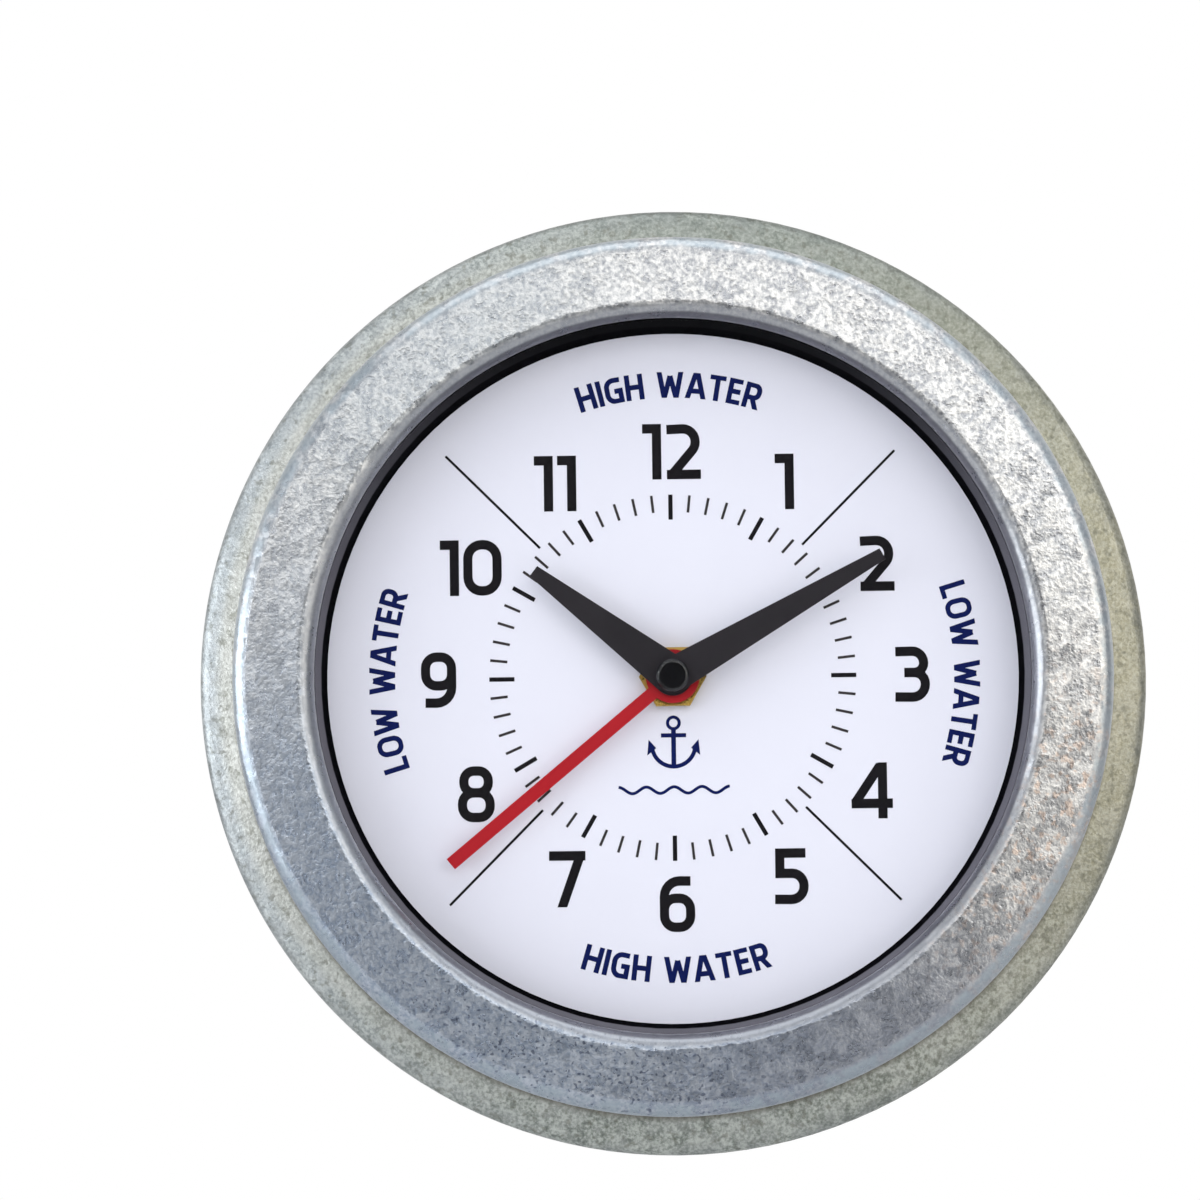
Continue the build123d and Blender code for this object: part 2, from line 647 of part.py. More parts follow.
with BuildPart() as third_wheel:
    train_wheel(TRAIN_WHEEL_TEETH, third_low, centre_mesh, third_axis, third_first)
save(third_wheel, "third_wheel")

with BuildPart() as intermediate_wheel:
    train_wheel(ROTOR_WHEEL_TEETH, intermediate_low, third_mesh, intermediate_axis, intermediate_first)
save(intermediate_wheel, "intermediate_wheel")

# Rotor of the stepping motor: pinion, magnet and two pivots
magnet_low = stator_low + STATOR_SHEET / 2 - MAGNET_HEIGHT / 2
with BuildPart() as rotor:
    wheel(TRAIN_PINION_TEETH, TRAIN_MODULE, intermediate_low - TOOTH_OVERLAP, magnet_low, rotor_axis)
    tube(MAGNET_RADIUS, 0, magnet_low, magnet_low + MAGNET_HEIGHT, rotor_axis)
    tube(PIVOT_RADIUS, 0, pivot_low, intermediate_low - TOOTH_OVERLAP, rotor_axis)
    tube(PIVOT_RADIUS, 0, magnet_low + MAGNET_HEIGHT, pivot_mid, rotor_axis)
save(rotor, "rotor")

stator_high = stator_low + STATOR_SHEET
core_low = coil_place - STATOR_BAR / 2
core_high = coil_place + STATOR_BAR / 2

# A flat loop of iron round the rotor and through the coil
with BuildPart() as stator:
    tube(STATOR_RING, 0, stator_low, stator_high, rotor_axis)
    block(rotor_axis[0] - STATOR_BAR, rotor_axis[0] + STATOR_BAR, rotor_axis[1], core_high,
          stator_low, stator_high)
    block(rotor_axis[0], stator_right, core_low, core_high, stator_low, stator_high)
    block(stator_right - STATOR_BAR, stator_right, stator_bottom, core_high, stator_low, stator_high)
    block(rotor_axis[0], stator_right, stator_bottom, stator_bottom + STATOR_BAR, stator_low, stator_high)
    tube(STATOR_HOLE, 0, stator_low, stator_high, rotor_axis, Mode.SUBTRACT)
save(stator, "stator")

coil_start = (coil_left, -(stator_low + STATOR_SHEET / 2), coil_place)
coil_plane = Plane(coil_start, x_dir=(0, 0, 1), z_dir=(1, 0, 0))

# The bobbin is square inside for the iron core
with BuildPart() as coil_bobbin:
    for start, length, radius in ((0, BOBBIN_END, BOBBIN_FLANGE),
                                  (BOBBIN_END, COIL_LENGTH - 2 * BOBBIN_END, BOBBIN_CORE),
                                  (COIL_LENGTH - BOBBIN_END, BOBBIN_END, BOBBIN_FLANGE)):
        with BuildSketch(coil_plane.offset(start)) as disc:
            Circle(radius)
            Rectangle(STATOR_BAR, STATOR_SHEET, mode=Mode.SUBTRACT)
        extrude(disc.sketch, amount=length)
save(coil_bobbin, "coil_bobbin")

with BuildPart() as motor_coil:
    with BuildSketch(coil_plane.offset(BOBBIN_END)):
        Circle(COIL_RADIUS)
        Circle(BOBBIN_CORE, mode=Mode.SUBTRACT)
    extrude(amount=COIL_LENGTH - 2 * BOBBIN_END)
save(motor_coil, "motor_coil")

board_front = inner_back + BOARD_THICK
with BuildPart() as circuit_board:
    block(board_left, board_right, board_low, board_high, inner_back, board_front)
save(circuit_board, "circuit_board")

board_middle = (board_left + board_right) / 2
chip_low = board_low + CHIP_SIDE
with BuildPart() as clock_chip:
    block(board_middle - CHIP_SIDE / 2, board_middle + CHIP_SIDE / 2, chip_low, chip_low + CHIP_SIDE,
          board_front, board_front + CHIP_HEIGHT)
save(clock_chip, "clock_chip")

# The crystal's can lies flat on the board
crystal_low = board_high - CRYSTAL_LENGTH - CRYSTAL_INSET
with BuildPart() as quartz_crystal:
    with BuildSketch(Plane((board_middle, -(board_front + CRYSTAL_RADIUS), crystal_low),
                           x_dir=(1, 0, 0), z_dir=(0, 0, 1))):
        Circle(CRYSTAL_RADIUS)
    extrude(amount=CRYSTAL_LENGTH)
save(quartz_crystal, "quartz_crystal")

cell_height = inner_front - CELL_RADIUS - CELL_GAP
cell_right = inner_side - CONTACT_SHEET - NUB_LENGTH
cell_left = SPRING_ROOM - inner_side
cell_length = cell_right - cell_left

with BuildPart() as battery_cell:
    with BuildSketch(Plane((cell_left, -cell_height, cell_place), x_dir=(0, 0, 1), z_dir=(1, 0, 0))) as can:
        Circle(CELL_RADIUS)
    extrude(can.sketch, amount=cell_length)
    with BuildSketch(Plane((cell_right, -cell_height, cell_place), x_dir=(0, 0, 1), z_dir=(1, 0, 0))) as nub:
        Circle(NUB_RADIUS)
    extrude(nub.sketch, amount=NUB_LENGTH)
save(battery_cell, "battery_cell")

contact_low = cell_height - CONTACT_WIDTH / 2
contact_high = cell_height + CONTACT_WIDTH / 2
cell_low = cell_place - CONTACT_WIDTH / 2
cell_high = cell_place + CONTACT_WIDTH / 2

with BuildPart() as contact_positive:
    block(inner_side - CONTACT_SHEET, inner_side, cell_low, cell_high, contact_low, contact_high)
save(contact_positive, "contact_positive")

# The negative contact is a leaf bent back on itself, pressing on the cell's base
with BuildPart() as contact_negative:
    block(-inner_side, -inner_side + CONTACT_SHEET, cell_low, cell_high, contact_low, contact_high)
    block(-inner_side, cell_left, cell_high - CONTACT_SHEET, cell_high, contact_low, contact_high)
    block(cell_left - CONTACT_SHEET, cell_left, cell_place, cell_high, contact_low, contact_high)
save(contact_negative, "contact_negative")
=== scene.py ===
# %% [markdown]
# # A round tide clock in a galvanised case
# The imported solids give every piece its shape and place. This script dresses them: the zinc coat of the
# case, the printed dial, the painted hands, the glass, and the movement at the back. The frame is loaded
# first and never moved, so each new piece goes where the solids say.

# %% Load the frame
import math

import bpy
from mathutils import Matrix, Vector


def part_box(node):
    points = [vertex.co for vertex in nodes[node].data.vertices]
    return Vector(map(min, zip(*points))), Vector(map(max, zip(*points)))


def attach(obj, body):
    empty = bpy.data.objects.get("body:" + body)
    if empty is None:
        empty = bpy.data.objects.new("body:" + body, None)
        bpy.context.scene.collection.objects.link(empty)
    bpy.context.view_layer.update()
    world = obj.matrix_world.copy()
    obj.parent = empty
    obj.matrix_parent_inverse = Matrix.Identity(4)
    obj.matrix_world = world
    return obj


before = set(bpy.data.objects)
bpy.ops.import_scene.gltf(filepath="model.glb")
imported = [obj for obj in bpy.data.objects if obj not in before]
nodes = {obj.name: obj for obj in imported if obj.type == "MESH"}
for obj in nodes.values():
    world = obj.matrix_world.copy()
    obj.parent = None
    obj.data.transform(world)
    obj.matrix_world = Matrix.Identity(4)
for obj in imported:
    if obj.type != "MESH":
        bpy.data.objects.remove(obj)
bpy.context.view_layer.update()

# %% [markdown]
# ## Measures taken from the solids
# The dial faces -Y. Heights towards the front are negative y, so the dial's printed face is the lowest y of
# the dial plate, and radii are half the width of a round piece's box.

# %% Read the sizes that the looks depend on
MM = 0.001


def front_of(node):
    """The y of a node's front face."""
    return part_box(node)[0].y


def radius_of(node):
    """The outer radius of a round node."""
    low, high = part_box(node)
    return (high.x - low.x) / 2


dial_face = front_of("dial_plate")
case_radius = radius_of("case_body")
bezel_radius = radius_of("front_bezel")
print("dial face at y", round(dial_face, 5), "case radius", round(case_radius, 4))

# %% [markdown]
# ## Camera
# The photograph looks at the clock from a little below its axis, through a long lens. The camera stands on
# that line, turns until the rim falls on its place in the picture, and rolls by a fraction of a degree.

# %% Set the camera
PHOTO_SIZE = 1200
RIM_CENTRE_PX = (672.7, 680.8)
RIM_RADIUS_PX = 472.4
RIM_HEIGHT = 13 * MM
CAMERA_DISTANCE = 1.3
CAMERA_BELOW = math.radians(3.6)
CAMERA_ROLL = math.radians(0.7)
SENSOR = 36.0

camera_place = Vector((0, -math.cos(CAMERA_BELOW), -math.sin(CAMERA_BELOW))) * CAMERA_DISTANCE
rim_centre = Vector((0, -RIM_HEIGHT, 0))
px_per_metre = RIM_RADIUS_PX / case_radius


def camera_turn(target):
    """The rotation that looks at a point, rolled about the line of sight."""
    looking = (target - camera_place).to_track_quat("-Z", "Y")
    return looking.to_matrix() @ Matrix.Rotation(-CAMERA_ROLL, 3, "Z")


turn = camera_turn(rim_centre)
right, up = turn.col[0], turn.col[1]
across = (PHOTO_SIZE / 2 - RIM_CENTRE_PX[0]) / px_per_metre
above = (RIM_CENTRE_PX[1] - PHOTO_SIZE / 2) / px_per_metre
target = rim_centre + right * across + up * above

camera_data = bpy.data.cameras.new("camera")
camera_data.sensor_width = SENSOR
camera_data.lens = px_per_metre * (rim_centre - camera_place).length / PHOTO_SIZE * SENSOR
camera = bpy.data.objects.new("camera", camera_data)
camera.matrix_world = Matrix.Translation(camera_place) @ camera_turn(target).to_4x4()
bpy.context.scene.collection.objects.link(camera)
bpy.context.scene.camera = camera
print("lens", round(camera_data.lens, 1), "mm")

# %% [markdown]
# ## Shader helper
# A material is a sum written in Python. `Socket` wraps one output of a node, so that `1 - mask` or
# `noise * 0.2 + 0.4` adds the Math nodes by itself. `Finish.node` adds any other node: its settings first,
# then the values or links of its sockets.

# %% Define the shader helper


class Socket:
    """One output of a node that can be used in sums."""

    def __init__(self, finish, socket):
        self.finish = finish
        self.socket = socket

    def math(self, operation, first, second):
        return self.finish.node("Math", {"operation": operation}, {0: first, 1: second})

    def __add__(self, other):
        return self.math("ADD", self, other)

    def __sub__(self, other):
        return self.math("SUBTRACT", self, other)

    def __rsub__(self, other):
        return self.math("SUBTRACT", other, self)

    def __mul__(self, other):
        return self.math("MULTIPLY", self, other)

    def above(self, low, high):
        """A smooth step from 0 to 1 between two values."""
        return self.finish.node("MapRange", {"interpolation_type": "SMOOTHSTEP"},
                                {"Value": self, "From Min": low, "From Max": high})


class Finish:
    """A material under construction."""

    def __init__(self, name, tree=None):
        if tree is None:
            self.material = bpy.data.materials.new(name)
            self.material.use_nodes = True
            tree = self.material.node_tree
        self.tree = tree
        self.tree.nodes.clear()

    def node(self, kind, settings=None, sockets=None, out=0):
        """Adds a node, sets it, feeds it, and gives one of its outputs."""
        made = self.tree.nodes.new("ShaderNode" + kind)
        for name, value in (settings or {}).items():
            setattr(made, name, value)
        for name, value in (sockets or {}).items():
            if isinstance(value, Socket):
                self.tree.links.new(value.socket, made.inputs[name])
            else:
                made.inputs[name].default_value = value
        return Socket(self, made.outputs[out]) if made.outputs else None

    def mix(self, factor, first, second):
        """A colour between two colours."""
        return self.node("Mix", {"data_type": "RGBA"}, {0: factor, 6: first, 7: second}, 2)

    def place(self):
        """The point on the piece, in metres."""
        return self.node("TexCoord", out="Object")

    def radius(self, centre=(0, 0)):
        """The distance from an axis along Y."""
        flat = self.node("VectorMath", {"operation": "MULTIPLY_ADD"},
                         {0: self.place(), 1: (1, 0, 1), 2: (-centre[0], 0, -centre[1])})
        return self.node("VectorMath", {"operation": "LENGTH"}, {0: flat}, "Value")

    def near(self, centre, inner, outer):
        """A mask that is 1 near a point of the front and fades to 0, all in millimetres."""
        spot = (centre[0] * MM, centre[1] * MM)
        return 1 - self.radius(spot).above(inner * MM, outer * MM)

    def noise(self, size, detail=2.0, roughness=0.5):
        """Cloudy grey noise with lumps of a size in metres."""
        return self.node("TexNoise", None, {"Vector": self.place(), "Scale": 1 / size,
                                            "Detail": detail, "Roughness": roughness})

    def bump(self, height, distance):
        """A normal that is tilted by a height map."""
        return self.node("Bump", None, {"Height": height, "Distance": distance})

    def principled(self, **sockets):
        """Closes the material with one Principled shader."""
        named = {name.replace("_", " ").title().replace("Ior", "IOR"): value
                 for name, value in sockets.items()}
        return self.close(self.node("BsdfPrincipled", None, named))

    def close(self, shader):
        self.node("OutputMaterial", None, {"Surface": shader})
        return self.material


def wear(material, *names):
    """Puts one material on solids or new pieces."""
    for name in names:
        piece = nodes[name].data if isinstance(name, str) else name.data
        piece.materials.clear()
        piece.materials.append(material)


print("shader helper ready")

# %% [markdown]
# ## Studio
# The picture's ground is plain white. A pale floor lies below, a white backdrop stands far behind, and the
# sky is a soft gradient that is brighter above. Two wide soft boxes hang in front and above, a cool one
# stands on the left and a warm one on the right, as the reflections in the case suggest. Flat glass mirrors
# what stands behind the camera, so a dark card is put there, as in a photographer's studio, and one on the
# floor below it darkens the foot of the bezel. Only reflections see the cards: the camera would show them
# behind the clock in the back views, and their shadow would lie on the floor.

# %% Floor and backdrop
FLOOR_LEVEL = -0.32
STAGE_SIZE = 30.0
BACKDROP_DISTANCE = 4.0
SHOWN_RAYS = ("Is Camera Ray", "Is Glossy Ray", "Is Transmission Ray")


def stage_plane(name, place, turned, size=STAGE_SIZE):
    """A flat sheet of the stage."""
    bpy.ops.object.select_all(action="DESELECT")
    bpy.ops.mesh.primitive_plane_add(size=size, location=place, rotation=turned)
    sheet = bpy.context.active_object
    sheet.name = name
    return sheet


floor = stage_plane("floor", (0, 0, FLOOR_LEVEL), (0, 0, 0))
backdrop = stage_plane("backdrop", (0, BACKDROP_DISTANCE, 0), (math.pi / 2, 0, 0))

paper = Finish("floor_paper")
paper_tone = paper.mix(paper.noise(0.4), (0.74, 0.74, 0.75, 1), (0.80, 0.80, 0.80, 1))
wear(paper.principled(base_color=paper_tone, roughness=0.9), floor)

screen = Finish("backdrop_screen")
seen = [screen.node("LightPath", out=ray) for ray in SHOWN_RAYS]
white = screen.node("Emission", None, {"Color": (1, 1, 1, 1), "Strength": 1.0})
dull = screen.node("BsdfDiffuse", None, {"Color": (0.8, 0.8, 0.8, 1)})
shown = (seen[0] + seen[1] + seen[2]).above(0.0, 1.0)
wear(screen.close(screen.node("MixShader", None, {0: shown, 1: dull, 2: white})), backdrop)

# Each card: its place, its tip about X, and its size
CARDS = {"dark_card": ((0, -1.6, 0.09), math.pi / 2, 0.56),
         "floor_card": ((0, -1.55, FLOOR_LEVEL + 0.01), 0, 1.1)}
felt = Finish("card_felt")
felt_tone = felt.mix(felt.noise(0.05), (0.008, 0.008, 0.009, 1), (0.014, 0.014, 0.015, 1))
felt_black = felt.principled(base_color=felt_tone, roughness=0.95)
for name, (place, tip, size) in CARDS.items():
    card = stage_plane(name, place, (tip, 0, 0), size)
    card.visible_camera = False
    card.visible_diffuse = False
    card.visible_shadow = False
    wear(felt_black, card)
print("floor at", FLOOR_LEVEL, "m, backdrop", BACKDROP_DISTANCE, "m behind")

# %% Sky and lamps
SKY_LOW = (0.36, 0.37, 0.40, 1)
SKY_HIGH = (0.80, 0.82, 0.86, 1)
SKY_FADE = (-0.1, 0.5)

# Each lamp: azimuth, elevation, distance, width, height, radiance and colour
LAMPS = {"top_box": (5, 70, 1.8, 2.6, 1.6, 1.2, (1.0, 1.0, 1.0)),
         "key_box": (10, 18, 2.0, 2.6, 0.75, 1.75, (1.0, 0.99, 0.96)),
         "left_box": (-68, 0, 2.0, 2.2, 1.2, 3.2, (0.92, 0.96, 1.0)),
         "right_box": (40, -1, 2.0, 1.5, 1.1, 1.2, (1.0, 0.93, 0.80))}

scene = bpy.context.scene
scene.view_settings.view_transform = "Standard"
scene.world = bpy.data.worlds.new("sky")
scene.world.use_nodes = True
sky = Finish("sky", scene.world.node_tree)
height = sky.node("SeparateXYZ", None, {0: sky.node("TexCoord", out="Generated")}, "Z")
sky_colour = sky.mix(height.above(*SKY_FADE), SKY_LOW, SKY_HIGH)
sky_light = sky.node("Background", None, {"Color": sky_colour, "Strength": 1.0})
sky.node("OutputWorld", None, {"Surface": sky_light})


def soft_box(name, azimuth, elevation, distance, width, tall, radiance, colour):
    """A rectangular lamp that faces the clock, placed by its direction from the clock."""
    lamp = bpy.data.lights.new(name, "AREA")
    lamp.shape = "RECTANGLE"
    lamp.size = width
    lamp.size_y = tall
    lamp.energy = radiance * width * tall * math.pi
    lamp.color = colour
    box = bpy.data.objects.new(name, lamp)
    side, rise = math.radians(azimuth), math.radians(elevation)
    out = Vector((math.sin(side) * math.cos(rise), -math.cos(side) * math.cos(rise), math.sin(rise)))
    box.location = out * distance
    box.rotation_euler = out.to_track_quat("Z", "Y").to_euler()
    box.visible_camera = False
    scene.collection.objects.link(box)


for name, lamp in LAMPS.items():
    soft_box(name, *lamp)
print("sky and", len(LAMPS), "soft boxes set")

# %% [markdown]
# ## Galvanised steel
# Hot-dip zinc freezes into small crystals, the spangle, under a skin that is dimpled like orange peel. The
# dimples catch the lamps, so they come from a bump, and the crystals each face their own way, so they tip
# the normal and set the tone. Voronoi cells with soft borders stand for the crystals. The case is older and
# duller than the bezel, so each gets its own marks on top of the same coat: rust, pits, specks and dirt, and
# with them painted shade and painted reflections.

# %% Make the zinc coat
CRYSTAL_SIZE, CRYSTAL_WARP = 1.7, 1.3
SKIN_SIZE, TIP_SIZE = 0.7, 0.5
CLOUD_SIZE = 26 * MM
FACET_SHARE, SKIN_SHARE, CLOUD_SHARE, SHADE_BASE = 0.3, 1.7, 0.2, -0.625


def crystals(finish, size, warp):
    """One random colour for each crystal of about this size, with soft feathered borders."""
    lumps = finish.node("TexNoise", None, {"Vector": finish.place(), "Scale": 1.6 / size, "Detail": 3.0},
                        "Color")
    moved = finish.node("VectorMath", {"operation": "MULTIPLY_ADD"},
                        {0: lumps, 1: (warp, warp, warp), 2: finish.place()})
    return finish.node("TexVoronoi", {"feature": "SMOOTH_F1"},
                       {"Vector": moved, "Scale": 1 / size, "Smoothness": 0.35}, "Color")


def tilted(finish, crystal, amount):
    """The surface normal, tipped by the crystals."""
    centred = finish.node("VectorMath", {"operation": "SUBTRACT"}, {0: crystal, 1: (0.5, 0.5, 0.5)})
    lean = finish.node("VectorMath", {"operation": "MULTIPLY_ADD"},
                       {0: centred, 1: (amount, amount, amount),
                        2: finish.node("NewGeometry", out="Normal")})
    return finish.node("VectorMath", {"operation": "NORMALIZE"}, {0: lean})


def zinc(name, grain, dark, light, lean, dimple, rough, age_and_shade=None, smooth=None):
    """A spangled zinc coat. `age_and_shade` adds marks, painted shade and painted reflections to the colour,
    and `smooth` says where the skin is smoothed.
    """
    coat = Finish(name)
    crystal = crystals(coat, grain * CRYSTAL_SIZE, grain * CRYSTAL_WARP)
    facet = coat.node("SeparateColor", None, {0: crystal}, "Red")
    skin = coat.noise(grain * SKIN_SIZE, 2.0, 0.6)
    cloud = coat.noise(CLOUD_SIZE, 3.0)
    shade = facet * FACET_SHARE + skin * SKIN_SHARE + cloud * CLOUD_SHARE + SHADE_BASE
    base = coat.mix(shade.above(0.0, 1.0), dark, light)
    tips = coat.noise(grain * TIP_SIZE, 1.0)
    relief = skin * (1 - smooth(coat)) if smooth else skin
    normal = coat.node("Bump", None, {"Height": relief, "Distance": dimple,
                                      "Normal": tilted(coat, crystal, lean)})
    return coat.principled(base_color=age_and_shade(coat, base) if age_and_shade else base, metallic=1.0,
                           roughness=tips * 0.16 + facet * 0.08 + rough, normal=normal)


print("zinc coat ready")

# %% Age the bezel and the case, paint shade and reflections on them, and coat the cover
OUTER_ROLL = bezel_radius - 3.0 * MM
LIP_ROLL = bezel_radius - 15.6 * MM
LIP_WALL = bezel_radius - 17.6 * MM


def bezel_rolls(coat):
    """The two rolled edges, where the press has smoothed the coat."""
    radius = coat.radius()
    return (radius.above(OUTER_ROLL - 0.6 * MM, OUTER_ROLL + 0.4 * MM) * 0.6
            + (1 - radius.above(LIP_ROLL - 0.6 * MM, LIP_ROLL + 0.4 * MM)) * 0.8)


# Patches of the bezel: centre, inner and outer radius in millimetres, strength and colour. The first two
# even out the tone; the three dark bluish ones, at the bottom, the upper left and the lower left, are
# painted shade with a painted cool reflection.
BEZEL_TONES_AND_SHADE = [((80, -50), 30, 85, 0.45, (0.44, 0.435, 0.425, 1)),
                 ((-92, 5), 20, 55, 0.45, (0.43, 0.45, 0.47, 1)),
                 ((38, -92), 15, 66, 0.62, (0.17, 0.195, 0.25, 1)),
                 ((-58, 76), 15, 62, 0.40, (0.30, 0.34, 0.37, 1)),
                 ((-60, -70), 30, 115, 0.50, (0.19, 0.265, 0.38, 1))]


def patched(coat, tone, patches):
    """A tone with soft patches of other tones on it."""
    for centre, inner, outer, strength, colour in patches:
        tone = coat.mix(coat.near(centre, inner, outer) * strength, tone, colour)
    return tone


def bezel_age(coat, base):
    """Even-toned patches, dark bluish patches of painted shade and painted cool reflection, pits near the
    foot, freckles of rust on the lower right, a greyer lip, painted shade on the lip's inner wall, and a
    painted cool reflection on the outer roll.
    """
    # The dark bluish patches here are painted shade and painted cool reflection.
    toned_and_shaded = patched(coat, base, BEZEL_TONES_AND_SHADE)
    pits = coat.noise(0.9 * MM, 0.0).above(0.64, 0.76) * coat.near((-25, -100), 20, 80)
    pitted = coat.mix(pits * 0.7, toned_and_shaded, (0.05, 0.065, 0.11, 1))
    freckles = coat.noise(1.7 * MM, 2.0).above(0.52, 0.66) * coat.near((90, -38), 10, 55)
    rusty = coat.mix(freckles * 0.42, pitted, (0.58, 0.38, 0.26, 1))
    radius = coat.radius()
    lip = 1 - radius.above(LIP_ROLL - 0.8 * MM, LIP_ROLL)
    # The lip's inner wall is darkened to a violet grey: painted shade and a painted reflection of the dial,
    # weaker on the left.
    left_without_shade = coat.near((-84, 0), 40, 80)
    wall = (1 - radius.above(LIP_WALL - 0.3 * MM, LIP_WALL + 0.3 * MM)) * (1 - left_without_shade * 0.8)
    # The outer roll gets a painted cool reflection, broken into blotches.
    roll_blotches = coat.noise(4 * MM, 2.0).above(0.3, 0.6)
    roll = radius.above(OUTER_ROLL - 0.3 * MM, OUTER_ROLL + 0.7 * MM) * roll_blotches
    lipped = coat.mix(lip * 0.7, rusty, (0.28, 0.29, 0.31, 1))
    walled = coat.mix(wall * 0.75, lipped, (0.10, 0.10, 0.125, 1))
    return coat.mix(roll * 0.65, walled, (0.33, 0.385, 0.42, 1))


def case_age(coat, base):
    """Painted shade on the crown, a painted warm reflection on the right, a painted pale and cool reflection
    on the left, mottling, dirt and painted shade in the groove by the bezel, specks, and painted shade on
    the outer rim.
    """
    radius = coat.radius()
    # Dirt and painted shade darken the groove next to the bezel.
    corner = 1 - radius.above(bezel_radius + 0.2 * MM, bezel_radius + 2.0 * MM)
    # Painted shade on the outer edge, where the flange turns away, broken into blotches.
    edge_blotches = coat.noise(7 * MM, 2.0).above(0.35, 0.65)
    edge = radius.above(case_radius - 4.5 * MM, case_radius - 0.5 * MM) * edge_blotches
    blotch = coat.noise(5 * MM, 2.0).above(0.42, 0.62)
    # The colour of a painted pale and cool reflection on the left: cream inside, blue towards the rim.
    left_reflection_colour = coat.mix(radius.above(case_radius - 6.0 * MM, case_radius - 2.5 * MM),
                     (0.61, 0.59, 0.55, 1), (0.53, 0.56, 0.61, 1))
    mottled = coat.mix(blotch * 0.22, base, (0.58, 0.59, 0.57, 1))
    # Painted light in patches: painted shade on the top, a painted warm reflection on the right, and the
    # painted reflection on the left.
    reflection_and_shade = patched(coat, mottled, [((35, 115), 30, 115, 0.50, (0.17, 0.19, 0.165, 1)),
                                      ((115, 0), 20, 150, 0.50, (0.34, 0.30, 0.19, 1)),
                                      ((-115, 15), 30, 170, 0.42, left_reflection_colour)])
    dirt_and_shade = coat.mix(corner * 0.7, reflection_and_shade, (0.10, 0.09, 0.07, 1))
    specks = coat.noise(1.8 * MM, 2.0).above(0.54, 0.70)
    speckled = coat.mix(specks * 0.5, dirt_and_shade, (0.13, 0.13, 0.10, 1))
    return coat.mix(edge * 0.35, speckled, (0.17, 0.185, 0.19, 1))


bezel_zinc = zinc("bezel_zinc", grain=1.4 * MM, dark=(0.28, 0.29, 0.31, 1), light=(0.71, 0.705, 0.69, 1),
                  lean=0.10, dimple=0.15 * MM, rough=0.20, age_and_shade=bezel_age, smooth=bezel_rolls)
case_zinc = zinc("case_zinc", grain=1.1 * MM, dark=(0.15, 0.17, 0.15, 1), light=(0.50, 0.525, 0.485, 1),
                 lean=0.10, dimple=0.12 * MM, rough=0.32, age_and_shade=case_age)
cover_zinc = zinc("cover_zinc", grain=4.5 * MM, dark=(0.42, 0.44, 0.46, 1), light=(0.70, 0.71, 0.73, 1),
                  lean=0.10, dimple=0.05 * MM, rough=0.34)
wear(bezel_zinc, "front_bezel")
wear(case_zinc, "case_body", "cover_brackets")
wear(cover_zinc, "back_cover")
print("zinc on the case, bezel, brackets and cover")

# %% [markdown]
# ## Glass
# The pane is real geometry, 2 mm thick. Light from the lamps has to reach the dial through it, and a path
# tracer can't aim at a lamp through glass, so shadow rays and diffuse rays meet a clear film instead.

# %% Make the glass
pane = Finish("clear_pane")
smear = pane.noise(30 * MM, 3.0).above(0.45, 0.9) * 0.02
solid_glass = pane.node("BsdfPrincipled", None, {
    "Base Color": (0.985, 0.99, 0.99, 1), "Roughness": smear, "IOR": 1.45, "Transmission Weight": 1.0})
film = pane.node("BsdfTransparent", None, {"Color": (0.97, 0.975, 0.975, 1)})
lamp_rays = pane.node("LightPath", out="Is Shadow Ray") + pane.node("LightPath", out="Is Diffuse Ray")
wear(pane.close(pane.node("MixShader", None, {0: lamp_rays.above(0.0, 1.0), 1: solid_glass, 2: film})),
     "lens_glass")
print("glass made")

# %% [markdown]
# ## Dial, ring and hands
# The dial is a metal disc with a satin white print that leans to lavender. The ring round it is black
# plastic, with a painted reflection of the dial greying its upper wall, except at the top, where painted
# shade keeps it black because its wall faces down. The hands are thin sheet with satin paint, and paint
# always has a fine orange-peel skin.

# %% Make the paints and plastics


def paint(name, colour, deep, rough, gloss=0.5, grain=0.9 * MM, peel=0.012 * MM):
    """Sprayed paint or ink: a cloudy tone and a fine orange peel. A matt one has a low gloss."""
    coat = Finish(name)
    tone = coat.mix(coat.noise(18 * MM, 3.0), deep, colour)
    skin = coat.noise(grain, 2.0)
    return coat.principled(base_color=tone, roughness=coat.noise(6 * MM, 2.0) * 0.12 + rough,
                           specular_ior_level=gloss, normal=coat.bump(skin, peel))


def moulded(name, colour, deep, rough, grain=0.35 * MM, depth=0.015 * MM):
    """Moulded plastic: an even tone, flow marks and a fine texture."""
    body = Finish(name)
    flow = body.noise(14 * MM, 4.0, 0.6)
    speck = body.noise(grain, 1.0)
    return body.principled(base_color=body.mix(flow, deep, colour), roughness=flow * 0.14 + rough,
                           normal=body.bump(speck, depth))


dial_white = paint("dial_white", (0.78, 0.775, 0.87, 1), (0.75, 0.745, 0.845, 1), 0.42)
hand_black = paint("hand_black", (0.022, 0.019, 0.023, 1), (0.016, 0.014, 0.017, 1), 0.34, 0.12)
hand_red = paint("hand_red", (0.42, 0.010, 0.018, 1), (0.36, 0.008, 0.014, 1), 0.34, 0.12)
black_gloss = moulded("black_gloss", (0.012, 0.012, 0.014, 1), (0.008, 0.008, 0.010, 1), 0.12,
                      depth=0.003 * MM)
cap_polish = moulded("cap_polish", (0.006, 0.006, 0.007, 1), (0.004, 0.004, 0.005, 1), 0.03,
                     depth=0.001 * MM)
black_rubber = moulded("black_rubber", (0.03, 0.03, 0.03, 1), (0.02, 0.02, 0.02, 1), 0.7)
housing_black = moulded("housing_black", (0.030, 0.030, 0.033, 1), (0.020, 0.020, 0.023, 1), 0.42)
plate_grey = moulded("plate_grey", (0.34, 0.35, 0.37, 1), (0.29, 0.30, 0.32, 1), 0.45)
